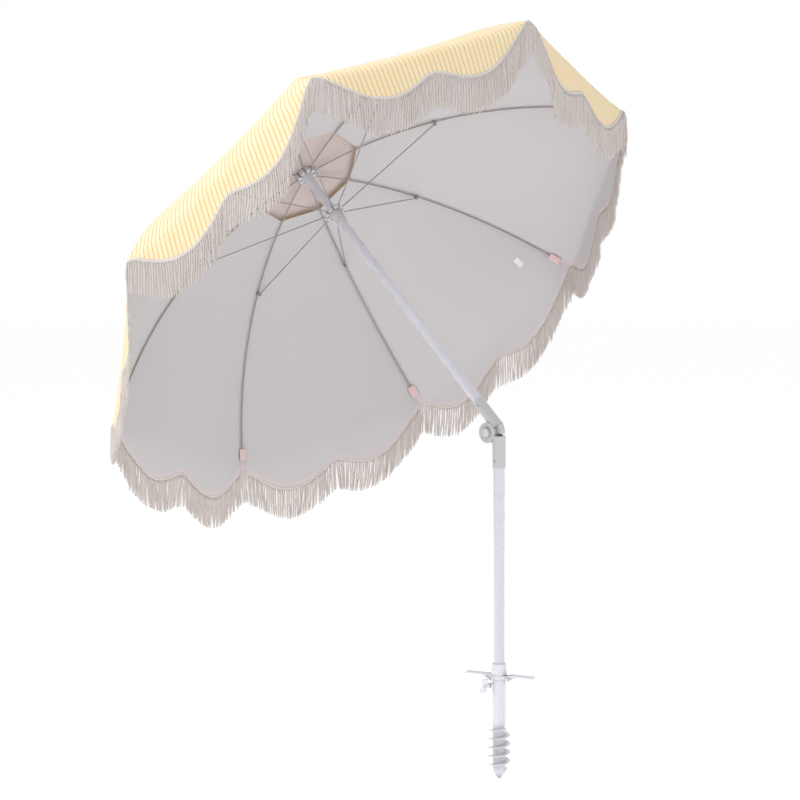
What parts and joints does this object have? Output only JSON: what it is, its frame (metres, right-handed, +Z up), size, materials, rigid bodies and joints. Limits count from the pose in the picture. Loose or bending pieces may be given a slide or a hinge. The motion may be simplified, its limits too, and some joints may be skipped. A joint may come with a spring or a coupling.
{
  "type": "beach umbrella",
  "caption": "Tilting beach umbrella: scalloped, fringed canopy on bowed ribs and stretchers, two-part pole with push-button tilt knuckle, and a screw-in sand anchor with fold-out handles.",
  "frame": {"origin": "the point of the sand anchor, on the lower pole's axis", "axes": "+Z up the lower pole's axis, the canopy leans towards -X about a tilt hinge that lies along Y"},
  "size_m": [1.2275, 1.7896, 2.0887],
  "materials": {
    "anchor_plastic": "satin moulded white plastic",
    "pole_paint": "gloss white powder coat",
    "knuckle_plastic": "light grey moulded nylon",
    "button_plastic": "pale grey moulded nylon",
    "frame_wire": "grey coated steel wire",
    "zinc": "zinc plated steel",
    "brass": "turned brass",
    "canopy_cloth": "pale yellow woven polyester with thin amber stripes, coated pale grey inside",
    "fringe_cord": "cream twisted cotton cord",
    "pocket_cloth": "pale pink woven tape",
    "tag_cloth": "white satin tape"
  },
  "bodies": {
    "anchor": {"anchor_tube": "anchor_plastic", "anchor_auger": "anchor_plastic", "handle_ring": "anchor_plastic", "handle_pins": "zinc", "clamp_insert": "brass"},
    "handle_right": {"handle_right": "anchor_plastic"},
    "handle_left": {"handle_left": "anchor_plastic"},
    "clamp": {"clamp_stud": "zinc", "clamp_wing": "anchor_plastic"},
    "plug": {"pole_end_plug": "knuckle_plastic"},
    "lower": {"lower_pole": "pole_paint", "lower_knuckle": "knuckle_plastic", "hinge_bolt": "zinc", "hinge_nut": "zinc", "button_spring": "zinc", "lower_screw": "zinc"},
    "button": {"push_button": "button_plastic"},
    "upper": {"upper_knuckle": "knuckle_plastic", "upper_screw": "zinc", "upper_pole": "pole_paint", "crown_hub": "anchor_plastic", "crown_ring": "zinc", "finial_cap": "anchor_plastic", "canopy_panel_1": "canopy_cloth", "canopy_panel_2": "canopy_cloth", "canopy_panel_3": "canopy_cloth", "canopy_panel_4": "canopy_cloth", "canopy_panel_5": "canopy_cloth", "canopy_panel_6": "canopy_cloth", "canopy_panel_7": "canopy_cloth", "canopy_panel_8": "canopy_cloth", "vent_cap": "canopy_cloth", "fringe": "fringe_cord", "rib_pockets": "pocket_cloth", "tie_strap": "canopy_cloth", "care_tag": "tag_cloth"},
    "runner": {"runner_hub": "anchor_plastic", "runner_ring": "zinc", "catch_pin": "zinc"},
    "catch": {"runner_catch": "anchor_plastic"},
    "rib_1": {"rib_1": "frame_wire"},
    "stretcher_1": {"stretcher_1": "frame_wire"},
    "rib_2": {"rib_2": "frame_wire"},
    "stretcher_2": {"stretcher_2": "frame_wire"},
    "rib_3": {"rib_3": "frame_wire"},
    "stretcher_3": {"stretcher_3": "frame_wire"},
    "rib_4": {"rib_4": "frame_wire"},
    "stretcher_4": {"stretcher_4": "frame_wire"},
    "rib_5": {"rib_5": "frame_wire"},
    "stretcher_5": {"stretcher_5": "frame_wire"},
    "rib_6": {"rib_6": "frame_wire"},
    "stretcher_6": {"stretcher_6": "frame_wire"},
    "rib_7": {"rib_7": "frame_wire"},
    "stretcher_7": {"stretcher_7": "frame_wire"},
    "rib_8": {"rib_8": "frame_wire"},
    "stretcher_8": {"stretcher_8": "frame_wire"}
  },
  "joints": [
    {"name": "pole_height", "type": "slide", "parent": "anchor", "child": "plug", "axis": [0, 0, 1], "range_m": [0, 0.16]},
    {"name": "pole_swivel", "type": "hinge", "parent": "plug", "child": "lower", "pos_m": [0, 0, 0.06], "axis": [0, 0, 1], "continuous": true},
    {"name": "clamp_turn", "type": "hinge", "parent": "anchor", "child": "clamp", "pos_m": [-0.0169, -0.03625, 0.258], "axis": [-0.4226, -0.9063, 0], "continuous": true},
    {"name": "handle_right_fold", "type": "hinge", "parent": "anchor", "child": "handle_right", "pos_m": [0.02279, 0.00785, 0.281], "axis": [0.3256, -0.9455, 0], "range_deg": [0, 90]},
    {"name": "handle_left_fold", "type": "hinge", "parent": "anchor", "child": "handle_left", "pos_m": [-0.02279, -0.00785, 0.281], "axis": [-0.3256, 0.9455, 0], "range_deg": [0, 90]},
    {"name": "tilt", "type": "hinge", "parent": "lower", "child": "upper", "pos_m": [-0.03, 0, 0.956], "axis": [0, 1, 0], "range_deg": [0, 47.5]},
    {"name": "button_press", "type": "slide", "parent": "lower", "child": "button", "axis": [0, 1, 0], "range_m": [0, 0.004], "stiffness_N_per_m": 600, "deforming": ["button_spring"]},
    {"name": "canopy_fold", "type": "hinge", "parent": "upper", "child": "rib_1", "pos_m": [-0.78388, 0, 1.72005], "axis": [0, 1, 0], "range_deg": [0, 63], "deforming": ["canopy_panel_1", "canopy_panel_2", "canopy_panel_3", "canopy_panel_4", "canopy_panel_5", "canopy_panel_6", "canopy_panel_7", "canopy_panel_8", "vent_cap", "fringe", "rib_pockets", "tie_strap", "care_tag"]},
    {"name": "rib_2_fold", "type": "hinge", "parent": "upper", "child": "rib_2", "pos_m": [-0.78863, 0.01697, 1.71486], "axis": [-0.4777, 0.7071, -0.5213], "range_deg": [0, 63]},
    {"name": "rib_3_fold", "type": "hinge", "parent": "upper", "child": "rib_3", "pos_m": [-0.80009, 0.024, 1.70235], "axis": [-0.6756, 0, -0.7373], "range_deg": [0, 63]},
    {"name": "rib_4_fold", "type": "hinge", "parent": "upper", "child": "rib_4", "pos_m": [-0.81156, 0.01697, 1.68984], "axis": [-0.4777, -0.7071, -0.5213], "range_deg": [0, 63]},
    {"name": "rib_5_fold", "type": "hinge", "parent": "upper", "child": "rib_5", "pos_m": [-0.81631, 0, 1.68466], "axis": [0, -1, 0], "range_deg": [0, 63]},
    {"name": "rib_6_fold", "type": "hinge", "parent": "upper", "child": "rib_6", "pos_m": [-0.81156, -0.01697, 1.68984], "axis": [0.4777, -0.7071, 0.5213], "range_deg": [0, 63]},
    {"name": "rib_7_fold", "type": "hinge", "parent": "upper", "child": "rib_7", "pos_m": [-0.80009, -0.024, 1.70235], "axis": [0.6756, 0, 0.7373], "range_deg": [0, 63]},
    {"name": "rib_8_fold", "type": "hinge", "parent": "upper", "child": "rib_8", "pos_m": [-0.78863, -0.01697, 1.71486], "axis": [0.4777, 0.7071, 0.5213], "range_deg": [0, 63]},
    {"name": "stretcher_1_fold", "type": "hinge", "parent": "rib_1", "child": "stretcher_1", "pos_m": [-0.45344, 0, 1.95301], "axis": [0, 1, 0], "range_deg": [-126, 0]},
    {"name": "stretcher_2_fold", "type": "hinge", "parent": "rib_2", "child": "stretcher_2", "pos_m": [-0.53635, 0.29628, 1.86253], "axis": [-0.4777, 0.7071, -0.5213], "range_deg": [-126, 0]},
    {"name": "stretcher_3_fold", "type": "hinge", "parent": "rib_3", "child": "stretcher_3", "pos_m": [-0.73651, 0.419, 1.64409], "axis": [-0.6756, 0, -0.7373], "range_deg": [-126, 0]},
    {"name": "stretcher_4_fold", "type": "hinge", "parent": "rib_4", "child": "stretcher_4", "pos_m": [-0.93667, 0.29628, 1.42565], "axis": [-0.4777, -0.7071, -0.5213], "range_deg": [-126, 0]},
    {"name": "stretcher_5_fold", "type": "hinge", "parent": "rib_5", "child": "stretcher_5", "pos_m": [-1.01958, 0, 1.33517], "axis": [0, -1, 0], "range_deg": [-126, 0]},
    {"name": "stretcher_6_fold", "type": "hinge", "parent": "rib_6", "child": "stretcher_6", "pos_m": [-0.93667, -0.29628, 1.42565], "axis": [0.4777, -0.7071, 0.5213], "range_deg": [-126, 0]},
    {"name": "stretcher_7_fold", "type": "hinge", "parent": "rib_7", "child": "stretcher_7", "pos_m": [-0.73651, -0.419, 1.64409], "axis": [0.6756, 0, 0.7373], "range_deg": [-126, 0]},
    {"name": "stretcher_8_fold", "type": "hinge", "parent": "rib_8", "child": "stretcher_8", "pos_m": [-0.53635, -0.29628, 1.86253], "axis": [0.4777, 0.7071, 0.5213], "range_deg": [-126, 0]},
    {"name": "runner_travel", "type": "hinge", "parent": "stretcher_1", "child": "runner", "pos_m": [-0.65671, 0, 1.60352], "axis": [0, 1, 0], "range_deg": [0, 63]},
    {"name": "catch_press", "type": "hinge", "parent": "runner", "child": "catch", "pos_m": [-0.64506, 0.00624, 1.58071], "axis": [0.2585, -0.9239, 0.2821], "range_deg": [0, 7], "stiffness_Nm_per_rad": 0.05}
  ],
  "couplings": [
    {"joint": "rib_2_fold", "follows": "canopy_fold", "ratio": 1},
    {"joint": "rib_3_fold", "follows": "canopy_fold", "ratio": 1},
    {"joint": "rib_4_fold", "follows": "canopy_fold", "ratio": 1},
    {"joint": "rib_5_fold", "follows": "canopy_fold", "ratio": 1},
    {"joint": "rib_6_fold", "follows": "canopy_fold", "ratio": 1},
    {"joint": "rib_7_fold", "follows": "canopy_fold", "ratio": 1},
    {"joint": "rib_8_fold", "follows": "canopy_fold", "ratio": 1},
    {"joint": "stretcher_1_fold", "follows": "canopy_fold", "ratio": -2},
    {"joint": "stretcher_2_fold", "follows": "canopy_fold", "ratio": -2},
    {"joint": "stretcher_3_fold", "follows": "canopy_fold", "ratio": -2},
    {"joint": "stretcher_4_fold", "follows": "canopy_fold", "ratio": -2},
    {"joint": "stretcher_5_fold", "follows": "canopy_fold", "ratio": -2},
    {"joint": "stretcher_6_fold", "follows": "canopy_fold", "ratio": -2},
    {"joint": "stretcher_7_fold", "follows": "canopy_fold", "ratio": -2},
    {"joint": "stretcher_8_fold", "follows": "canopy_fold", "ratio": -2},
    {"joint": "runner_travel", "follows": "canopy_fold", "ratio": 1}
  ]
}
